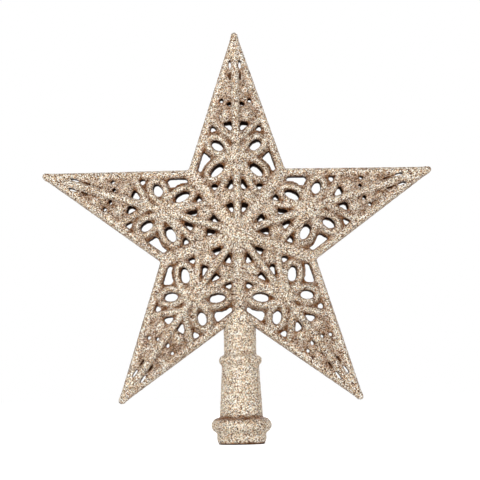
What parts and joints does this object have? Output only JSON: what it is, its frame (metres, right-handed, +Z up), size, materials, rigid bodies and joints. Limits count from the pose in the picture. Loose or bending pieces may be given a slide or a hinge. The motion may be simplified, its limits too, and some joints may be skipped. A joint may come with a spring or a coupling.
{
  "type": "christmas tree topper star",
  "caption": "Glittered star-shaped Christmas tree topper with pierced floral filigree, faceted alike front and back, on a beaded tapered socket that slips over the tree's top twig.",
  "frame": {"origin": "centre of the socket's mouth, on the plane that the topper stands on", "axes": "+Z up the tree along the socket's axis, +X to the right as seen from the front, the front of the star faces -Y"},
  "size_m": [0.1998, 0.04, 0.2113],
  "materials": {
    "champagne_glitter": "champagne gold glitter over moulded plastic"
  },
  "bodies": {
    "root": {"front_star_shell": "champagne_glitter", "back_star_shell": "champagne_glitter", "twig_socket": "champagne_glitter"}
  },
  "joints": []
}
